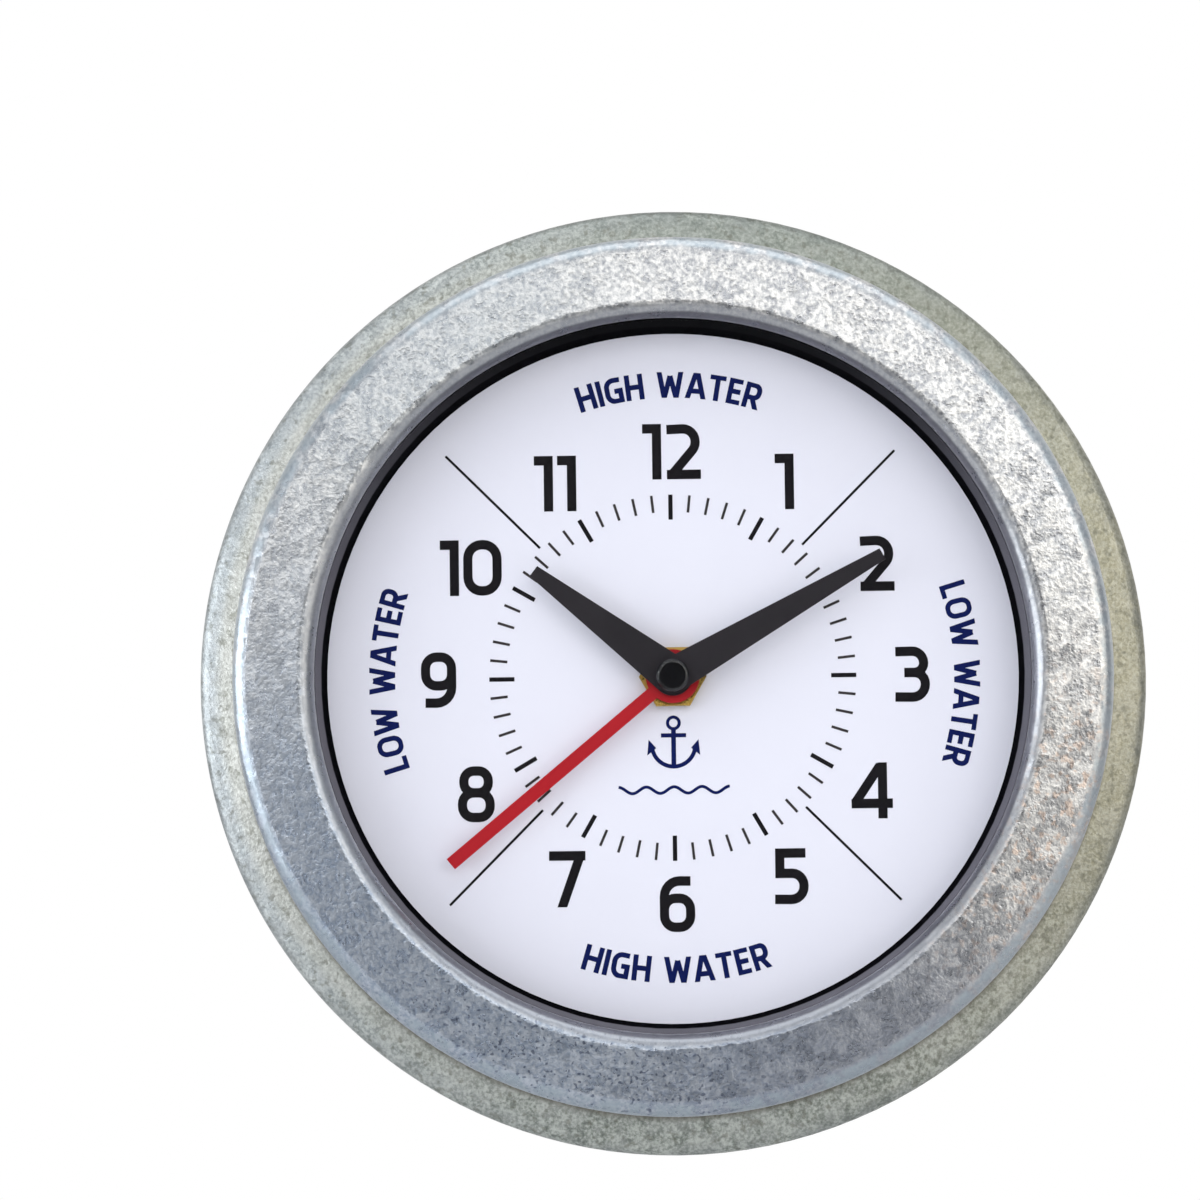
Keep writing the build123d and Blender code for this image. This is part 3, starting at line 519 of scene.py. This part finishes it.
wheel_ivory = moulded("wheel_ivory", (0.80, 0.77, 0.66, 1), (0.72, 0.69, 0.58, 1), 0.38)
rotor_magnet = moulded("rotor_magnet", (0.10, 0.10, 0.11, 1), (0.06, 0.06, 0.07, 1), 0.5)
knob_white = moulded("knob_white", (0.80, 0.80, 0.78, 1), (0.70, 0.70, 0.68, 1), 0.3)
knob_red = moulded("knob_red", (0.55, 0.03, 0.03, 1), (0.46, 0.02, 0.02, 1), 0.3)
bobbin_plastic = moulded("bobbin_plastic", (0.76, 0.75, 0.70, 1), (0.68, 0.67, 0.62, 1), 0.45)
board_green = moulded("board_green", (0.03, 0.20, 0.08, 1), (0.02, 0.14, 0.05, 1), 0.25)

wear(dial_white, "dial_plate")
wear(hand_black, "hour_hand", "minute_hand")
wear(hand_red, "tide_hand")
wear(black_gloss, "clock_chip")
wear(cap_polish, "hand_cap")
wear(black_rubber, "lens_gasket", "rubber_washer")
wear(housing_black, "movement_front_case", "movement_rear_case")
wear(plate_grey, "middle_plate")
wear(wheel_ivory, "centre_wheel", "minute_wheel", "hour_wheel", "tide_idler", "tide_wheel", "third_wheel",
     "intermediate_wheel")
wear(rotor_magnet, "rotor")
wear(knob_white, "time_set_knob")
wear(knob_red, "tide_set_knob")
wear(bobbin_plastic, "coil_bobbin")
wear(board_green, "circuit_board")

# The ring is black at its foot. Above that line its grey is a painted reflection of the dial with a little
# random tone, and at the top it is left black as painted shade.
SHEEN_LINE = 4.8 * MM
ring = Finish("ring_black")
ring_spot = ring.place()
ring_rise = ring.node("SeparateXYZ", None, {0: ring_spot}, "Y")
ring_foot = ring_rise.above(dial_face - SHEEN_LINE - 0.6 * MM, dial_face - SHEEN_LINE + 0.6 * MM)
ring_shaded_top = ring.node("SeparateXYZ", None, {0: ring_spot}, "Z").above(10 * MM, 82 * MM)
ring_sheen = ring.mix(ring.noise(9 * MM, 3.0), (0.12, 0.115, 0.135, 1), (0.15, 0.145, 0.17, 1))
ring_upper_sheen = ring.mix(ring_shaded_top, ring_sheen, (0.006, 0.006, 0.007, 1))
wear(ring.principled(base_color=ring.mix(ring_foot, ring_upper_sheen, (0.002, 0.002, 0.003, 1)),
                     roughness=0.6, specular_ior_level=0.0), "dial_ring")
print("paints and plastics set")

# %% [markdown]
# ## Turned and plated metal
# Brass and steel that came off a lathe keep fine rings about their axis. A wave over the radius gives them
# as a little bump, and tarnish clouds the colour and the roughness.

# %% Make the metals


def lathe_metal(name, colour, deep, rough, pitch=0.18 * MM, depth=0.004 * MM):
    """Turned metal with rings about the clock's axis."""
    metal = Finish(name)
    rings = metal.node("Math", {"operation": "SINE"}, {0: metal.radius() * (2 * math.pi / pitch)})
    tarnish = metal.noise(3 * MM, 4.0, 0.6)
    return metal.principled(base_color=metal.mix(tarnish, deep, colour), metallic=1.0,
                            roughness=tarnish * 0.2 + rough, normal=metal.bump(rings, depth))


brass = lathe_metal("brass", (0.66, 0.44, 0.12, 1), (0.34, 0.21, 0.04, 1), 0.18)
arbor_steel = lathe_metal("arbor_steel", (0.70, 0.70, 0.72, 1), (0.55, 0.55, 0.57, 1), 0.2)
screw_steel = lathe_metal("screw_steel", (0.76, 0.77, 0.79, 1), (0.62, 0.63, 0.66, 1), 0.2)
stator_iron = lathe_metal("stator_iron", (0.52, 0.53, 0.55, 1), (0.42, 0.43, 0.45, 1), 0.35)
contact_plated = lathe_metal("contact_plated", (0.78, 0.77, 0.74, 1), (0.66, 0.65, 0.62, 1), 0.2)
copper_wire = lathe_metal("copper_wire", (0.72, 0.34, 0.18, 1), (0.50, 0.20, 0.09, 1), 0.3, 0.12 * MM)
wear(brass, "hex_nut", "brass_washer", "threaded_bush")
wear(arbor_steel, "minute_arbor")
wear(screw_steel, "cover_screws")
wear(stator_iron, "stator")
wear(contact_plated, "contact_positive", "contact_negative", "quartz_crystal")
wear(copper_wire, "motor_coil")

cell = Finish("cell_jacket")
along = cell.node("SeparateXYZ", None, {0: cell.place()}, "X")
cell_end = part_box("battery_cell")[1].x
BAND = 12 * MM
CAP = 2 * MM
jacket = cell.mix(along.above(cell_end - BAND - 0.2 * MM, cell_end - BAND), (0.10, 0.12, 0.16, 1),
                  (0.50, 0.51, 0.52, 1))
bare_end = along.above(cell_end - CAP - 0.1 * MM, cell_end - CAP)
cell_scuff = cell.noise(4 * MM, 4.0)
wear(cell.principled(base_color=cell.mix(bare_end, jacket, (0.75, 0.75, 0.74, 1)),
                     metallic=bare_end, roughness=cell_scuff * 0.15 + 0.22), "battery_cell")
print("metals and battery set")

# %% [markdown]
# ## Printed dial
# Numbers, marks and legends are ink on the dial. Each figure is drawn as a draughtsman would, in pen
# strokes: a line with rounded corners is drawn as a curve, raised into a thin wall, and thickened to the
# pen's width by Solidify. The strokes of one figure are then joined by a Boolean union and trimmed to the
# cap height by Bisect, so that every figure is one closed film of ink.

# %% Define the pen
PEN = 0.17
BOLD_PEN = 0.195
ARC_STEP = math.radians(15)
INK = 0.05


def rounded_run(corners, closed):
    """Points along straight runs through (x, y, radius) corners, each rounded by an arc."""
    run = []
    count = len(corners)
    for k, corner in enumerate(corners):
        here = Vector(corner[:2])
        radius = corner[2] if len(corner) > 2 else 0.0
        if radius == 0.0 or (not closed and k in (0, count - 1)):
            run.append(here)
            continue
        back = (Vector(corners[k - 1][:2]) - here).normalized()
        ahead = (Vector(corners[(k + 1) % count][:2]) - here).normalized()
        half = back.angle(ahead) / 2
        middle = here + (back + ahead).normalized() * radius / math.sin(half)
        start = here + back * radius / math.tan(half) - middle
        sweep = math.pi - 2 * half
        if back.cross(ahead) > 0:
            sweep = -sweep
        steps = max(2, round(abs(sweep) / ARC_STEP))
        for step in range(steps + 1):
            run.append(middle + Matrix.Rotation(sweep * step / steps, 2) @ start)
    return run


def only(piece):
    """Selects one object and makes it active."""
    bpy.ops.object.select_all(action="DESELECT")
    piece.select_set(True)
    bpy.context.view_layer.objects.active = piece


def drawn_curve(points, closed, filled):
    """A flat curve through points, turned into a mesh."""
    line = bpy.data.curves.new("pen_line", "CURVE")
    line.dimensions = "2D" if filled else "3D"
    line.fill_mode = "BOTH" if filled else "FULL"
    spline = line.splines.new("POLY")
    spline.points.add(len(points) - 1)
    for place, point in zip(spline.points, points):
        place.co = (point[0], point[1], 0, 1)
    spline.use_cyclic_u = closed
    piece = bpy.data.objects.new("pen_line", line)
    scene.collection.objects.link(piece)
    only(piece)
    bpy.ops.object.convert(target="MESH")
    return bpy.context.active_object


def raised(piece, thick):
    """Extrudes all of a mesh upwards."""
    only(piece)
    bpy.ops.object.mode_set(mode="EDIT")
    bpy.ops.mesh.select_all(action="SELECT")
    bpy.ops.mesh.remove_doubles(threshold=1e-5)
    bpy.ops.mesh.extrude_region_move(TRANSFORM_OT_translate={"value": (0, 0, thick)})
    bpy.ops.object.mode_set(mode="OBJECT")
    return piece


def outward(piece):
    """Merges doubles and points every face outwards."""
    only(piece)
    bpy.ops.object.mode_set(mode="EDIT")
    bpy.ops.mesh.select_all(action="SELECT")
    bpy.ops.mesh.remove_doubles(threshold=1e-5)
    bpy.ops.mesh.normals_make_consistent(inside=False)
    bpy.ops.object.mode_set(mode="OBJECT")
    return piece


def pen_stroke(corners, closed=False, width=PEN, thick=INK):
    """A stroke of even width along a run of corners."""
    wall = raised(drawn_curve(rounded_run(corners, closed), closed, False), thick)
    pen = wall.modifiers.new("pen", "SOLIDIFY")
    pen.thickness = width
    pen.offset = 0.0
    pen.use_even_offset = True
    bpy.ops.object.modifier_apply(modifier=pen.name)
    return outward(wall)


def filled_shape(corners, thick=INK):
    """A filled outline, for what isn't an even stroke."""
    return outward(raised(drawn_curve(rounded_run(corners, True), True, True), thick))


def joined(pieces, name):
    """Joins pieces into one object."""
    bpy.ops.object.select_all(action="DESELECT")
    for piece in pieces:
        piece.select_set(True)
    bpy.context.view_layer.objects.active = pieces[0]
    bpy.ops.object.join()
    pieces[0].name = name
    return pieces[0]


def united(pieces, name, trim=None):
    """One closed film from overlapping strokes, cut off below 0 and above the trim height."""
    whole = joined(pieces, name)
    bpy.ops.object.mode_set(mode="EDIT")
    bpy.ops.mesh.select_all(action="SELECT")
    if len(pieces) > 1:
        bpy.ops.mesh.intersect_boolean(operation="UNION", use_self=True, solver="EXACT")
    if trim:
        for level, side in ((0.0, -1), (trim, 1)):
            bpy.ops.mesh.select_all(action="SELECT")
            bpy.ops.mesh.bisect(plane_co=(0, level, 0), plane_no=(0, side, 0), use_fill=True,
                                clear_outer=True)
    bpy.ops.object.mode_set(mode="OBJECT")
    return outward(whole)


print("pen ready")

# %% Draw the figures once each
HALF = PEN / 2
TOP = 1 - HALF


def ring_of(left, right, low, high, radius):
    """The corners of a rounded rectangle."""
    return [(left, low, radius), (right, low, radius), (right, high, radius), (left, high, radius)]


def swung(corners, width):
    """The same run turned by half a turn within its cell."""
    return [(width - c[0], 1 - c[1], *c[2:]) for c in corners]


six = [(ring_of(HALF, 0.565, HALF, 0.60, 0.20), True),
       ([(HALF, 0.32), (HALF, TOP, 0.28), (0.57, TOP - 0.01)], False)]

# Each figure: its width, then its strokes as (corners, closed)
FIGURES = {
    "0": (0.71, [(ring_of(HALF, 0.625, HALF, TOP, 0.25), True)]),
    "1": (0.35, [([(0.0, TOP), (0.265, TOP), (0.265, 0.0)], False)]),
    "2": (0.65, [([(0.02, TOP - 0.02), (0.55, TOP, 0.23), (0.55, 0.58, 0.22), (0.12, 0.09)], False),
                 ([(0.02, HALF), (0.65, HALF)], False)]),
    "3": (0.66, [([(0.03, TOP - 0.01), (0.55, TOP, 0.21), (0.55, 0.53, 0.17), (0.19, 0.53)], False),
                 ([(0.19, 0.53), (0.575, 0.53, 0.20), (0.575, HALF, 0.23), (0.02, HALF + 0.01)], False)]),
    "4": (0.76, [([(0.575, 0.0), (0.575, 1.0)], False),
                 ([(0.0, 0.27), (0.76, 0.27)], False),
                 ([(0.06, 0.27), (0.535, 0.95)], False)]),
    "5": (0.64, [([(0.59, TOP), (0.115, TOP), (0.115, 0.47)], False),
                 ([(0.115, 0.555), (0.555, 0.555, 0.22), (0.555, HALF, 0.23), (0.02, HALF + 0.01)], False)]),
    "6": (0.65, six),
    "7": (0.67, [([(0.0, TOP), (0.67, TOP)], False), ([(0.595, 0.98), (0.215, -0.05)], False)]),
    "8": (0.68, [(ring_of(0.115, 0.565, 0.525, TOP, 0.18), True),
                 (ring_of(HALF, 0.595, HALF, 0.525, 0.20), True)]),
    "9": (0.65, [(swung(run, 0.65), closed) for run, closed in six]),
    "H": (0.68, [([(HALF, 0), (HALF, 1)], False), ([(0.595, 0), (0.595, 1)], False),
                 ([(HALF, 0.5), (0.595, 0.5)], False)]),
    "I": (0.17, [([(HALF, 0), (HALF, 1)], False)]),
    "G": (0.68, [([(0.63, TOP - 0.02), (HALF, TOP, 0.28), (HALF, HALF, 0.28), (0.595, HALF), (0.595, 0.47),
                   (0.36, 0.47)], False)]),
    "W": (1.00, [([(0.07, 1.05), (0.28, -0.05)], False), ([(0.26, -0.05), (0.50, 0.85)], False),
                 ([(0.50, 0.85), (0.74, -0.05)], False), ([(0.72, -0.05), (0.93, 1.05)], False)]),
    "A": (0.76, [([(0.06, -0.05), (0.36, 1.05)], False), ([(0.40, 1.05), (0.70, -0.05)], False),
                 ([(0.20, 0.29), (0.56, 0.29)], False)]),
    "T": (0.62, [([(0.0, TOP), (0.62, TOP)], False), ([(0.31, TOP), (0.31, 0)], False)]),
    "E": (0.52, [([(0.52, TOP), (HALF, TOP), (HALF, HALF), (0.52, HALF)], False),
                 ([(HALF, 0.5), (0.48, 0.5)], False)]),
    "R": (0.64, [([(HALF, 0), (HALF, TOP), (0.545, TOP, 0.2), (0.545, 0.43, 0.2), (HALF, 0.43)], False),
                 ([(0.32, 0.43), (0.57, -0.05)], False)]),
    "L": (0.50, [([(HALF, 1), (HALF, HALF), (0.5, HALF)], False)]),
    "O": (0.74, [(ring_of(HALF, 0.655, HALF, TOP, 0.27), True)]),
}

figures = {}
for letter, (figure_width, runs) in FIGURES.items():
    strokes = [pen_stroke(run, closed, PEN if letter.isdigit() else BOLD_PEN) for run, closed in runs]
    figures[letter] = united(strokes, "figure_" + letter, trim=1.0)
print("drew", len(figures), "figures")

# %% [markdown]
# The dial's own plane has x to the right, y up and z towards the viewer. One matrix takes a figure from
# there to the clock: z becomes -Y, and y becomes Z. Copies are placed by their mesh, so that every finished
# piece sits at the origin.

# %% Place the print on the dial
TO_DIAL = Matrix.Translation((0, dial_face, 0)) @ Matrix.Rotation(math.pi / 2, 4, "X")


def clock_turn(degrees):
    """A turn about the dial's centre, clockwise as the dial is read."""
    return Matrix.Rotation(-math.radians(degrees), 4, "Z")


def placed(source, matrix):
    """A copy of a piece with its own mesh, put on the dial."""
    copy = source.copy()
    copy.data = source.data.copy()
    copy.data.transform(TO_DIAL @ matrix)
    scene.collection.objects.link(copy)
    return copy


WORD_GAP = 0.42
INK_THICK = 0.04 * MM


def figure_cell(letters, size, spacing):
    """(letter, x) for a word set from 0, and its whole width."""
    x, cells = 0.0, []
    for letter in letters:
        if letter == " ":
            x += WORD_GAP * size
            continue
        cells.append((letter, x))
        x += FIGURES[letter][0] * size + spacing
    return cells, x - spacing


def scaled(wide, tall):
    """A figure of cap height 1 brought to a size, with its ink film kept thin."""
    return Matrix.Diagonal((wide, tall, INK_THICK / INK, 1))


NUMBER_HEIGHT = 12.9 * MM
NUMBER_WIDTH = 12.5 * MM
NUMBER_SPACE = 1.0 * MM

# Where the middle of each number stands on the dial, in millimetres to the right and up
NUMBER_PLACES = {1: (26.4, 45.0), 2: (47.4, 25.8), 3: (55.1, 0.0), 4: (45.5, -26.7), 5: (26.6, -46.2),
                 6: (0.4, -52.2), 7: (-24.8, -46.2), 8: (-45.6, -26.4), 9: (-54.0, 0.0), 10: (-46.3, 25.9),
                 11: (-26.6, 45.2), 12: (0.4, 52.3)}

numbers = []
for hour, (right_mm, up_mm) in NUMBER_PLACES.items():
    cells, width = figure_cell(str(hour), NUMBER_WIDTH, NUMBER_SPACE)
    for letter, x in cells:
        corner = Vector((right_mm * MM + x - width / 2, up_mm * MM - NUMBER_HEIGHT / 2, 0))
        numbers.append(placed(figures[letter],
                              Matrix.Translation(corner) @ scaled(NUMBER_WIDTH, NUMBER_HEIGHT)))
hour_numbers = joined(numbers, "hour_numbers")

LEGEND_HEIGHT = 6.0 * MM
LEGEND_SPACE = 0.75 * MM

# Each legend: its words, its degrees clockwise from 12, its radius, and whether it reads inward
LEGENDS = {"legend_top": ("HIGH WATER", 0, 67.8 * MM, False),
           "legend_right": ("LOW WATER", 90, 67.8 * MM, False),
           "legend_bottom": ("HIGH WATER", 180, 67.3 * MM, True),
           "legend_left": ("LOW WATER", 270, 67.0 * MM, False)}


def curved_legend(name, words, at, radius, inward):
    """Words along an arc. Inward legends have their feet towards the rim, so that they read upright."""
    cells, width = figure_cell(words, LEGEND_HEIGHT, LEGEND_SPACE)
    side = -1 if inward else 1
    pieces = []
    for letter, x in cells:
        half = FIGURES[letter][0] * LEGEND_HEIGHT / 2
        along = math.degrees((x + half - width / 2) / radius)
        base = Matrix.Translation((-half, side * radius - LEGEND_HEIGHT / 2, 0))
        turn = clock_turn(at - along + 180) if inward else clock_turn(at + along)
        pieces.append(placed(figures[letter], turn @ base @ scaled(LEGEND_HEIGHT, LEGEND_HEIGHT)))
    return joined(pieces, name)


legends = [curved_legend(name, *legend) for name, legend in LEGENDS.items()]
print("placed the numbers and four legends")

# %% Draw the minute track and the quarter lines
TRACK_OUTER = 42.3 * MM
MINOR_INNER = 38.3 * MM
MAJOR_INNER = 36.5 * MM
MINOR_WIDTH = 0.62 * MM
MAJOR_WIDTH = 1.0 * MM
QUARTER_INNER = 42.8 * MM
QUARTER_OUTER = 73.4 * MM
QUARTER_WIDTH = 0.58 * MM

minor = pen_stroke([(0, MINOR_INNER / MM), (0, TRACK_OUTER / MM)], width=MINOR_WIDTH / MM)
major = pen_stroke([(0, MAJOR_INNER / MM), (0, TRACK_OUTER / MM)], width=MAJOR_WIDTH / MM)
quarter = pen_stroke([(0, QUARTER_INNER / MM), (0, QUARTER_OUTER / MM)], width=QUARTER_WIDTH / MM)
IN_MM = Matrix.Diagonal((MM, MM, INK_THICK / INK, 1))
minors = [placed(minor, clock_turn(6 * minute) @ IN_MM) for minute in range(60) if minute % 5]
minute_track = joined(minors, "minute_track")
majors = [placed(major, clock_turn(30 * hour) @ IN_MM) for hour in range(12)]
hour_marks = joined(majors, "hour_marks")
quarters = [placed(quarter, clock_turn(45 + 90 * k) @ IN_MM) for k in range(4)]
quarter_lines = joined(quarters, "quarter_lines")
print("minute track and quarter lines")

# %% [markdown]
# Below the centre is an anchor, drawn here in the plainest traditional form: a ring, a stock, a shank and
# two arms with flukes. A small row of waves lies under it.

# %% Draw the anchor and the waves
# All in millimetres, the anchor about its own middle
ANCHOR_AT = -15.3
ANCHOR_PEN = 0.95
RING_AT = 4.75
RING_RADIUS = 1.35
RING_PEN = 0.75
RING_STEPS = 24
ARM_AT = -0.3
ARM_RADIUS = 5.0
ARM_SWING = 80
ARM_STEPS = 20
SHANK_TOP = 3.5
SHANK_FOOT = -5.5
SHANK_PEN = ANCHOR_PEN * 1.15
STOCK_AT = 1.9
STOCK_HALF = 2.9
FLUKE = [(4.0, -1.0), (5.75, 0.95), (6.1, -2.7)]
WAVE_AT = -26.0
WAVE_LENGTH = 6.4
WAVE_HEIGHT = 0.75
WAVE_COUNT = 4
WAVE_PEN = 0.7
WAVE_STEPS = 64

ring_turns = [2 * math.pi * k / RING_STEPS for k in range(RING_STEPS)]
ring_run = [(RING_RADIUS * math.cos(a), RING_AT + RING_RADIUS * math.sin(a)) for a in ring_turns]
arm_turns = [math.radians(ARM_SWING * (2 * k / ARM_STEPS - 1)) for k in range(ARM_STEPS + 1)]
arm_run = [(ARM_RADIUS * math.sin(a), ARM_AT - ARM_RADIUS * math.cos(a)) for a in arm_turns]
parts = [pen_stroke(ring_run, True, RING_PEN), pen_stroke(arm_run, False, ANCHOR_PEN),
         pen_stroke([(0, SHANK_TOP), (0, SHANK_FOOT)], False, SHANK_PEN),
         pen_stroke([(-STOCK_HALF, STOCK_AT), (STOCK_HALF, STOCK_AT)], False, ANCHOR_PEN),
         filled_shape(FLUKE), filled_shape([(-x, y) for x, y in reversed(FLUKE)])]
anchor_shape = united(parts, "anchor_shape")
anchor = joined([placed(anchor_shape, Matrix.Translation((0, ANCHOR_AT * MM, 0)) @ IN_MM)], "anchor")

wave_span = WAVE_LENGTH * WAVE_COUNT
wave_turn = 2 * math.pi * WAVE_COUNT / WAVE_STEPS
wave_run = [(wave_span * (k / WAVE_STEPS - 0.5), WAVE_HEIGHT * math.cos(wave_turn * k))
            for k in range(WAVE_STEPS + 1)]
wave_shape = pen_stroke(wave_run, False, WAVE_PEN)
waves = joined([placed(wave_shape, Matrix.Translation((0, WAVE_AT * MM, 0)) @ IN_MM)], "waves")

for source in [*figures.values(), minor, major, quarter, anchor_shape, wave_shape]:
    bpy.data.objects.remove(source)

ink_black = paint("ink_black", (0.008, 0.007, 0.009, 1), (0.005, 0.004, 0.006, 1), 0.40, 0.08)
ink_grey = paint("ink_grey", (0.042, 0.036, 0.038, 1), (0.034, 0.029, 0.031, 1), 0.40, 0.08)
ink_blue = paint("ink_blue", (0.003, 0.009, 0.085, 1), (0.002, 0.007, 0.070, 1), 0.40, 0.05)
wear(ink_black, hour_numbers, hour_marks, quarter_lines)
wear(ink_grey, minute_track)
wear(ink_blue, anchor, waves, *legends)
for piece in (hour_numbers, hour_marks, minute_track, quarter_lines, anchor, waves, *legends):
    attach(piece, "case")
print("anchor and waves; print rides on the case")

# %% [markdown]
# ## End

# %% End
print("done")
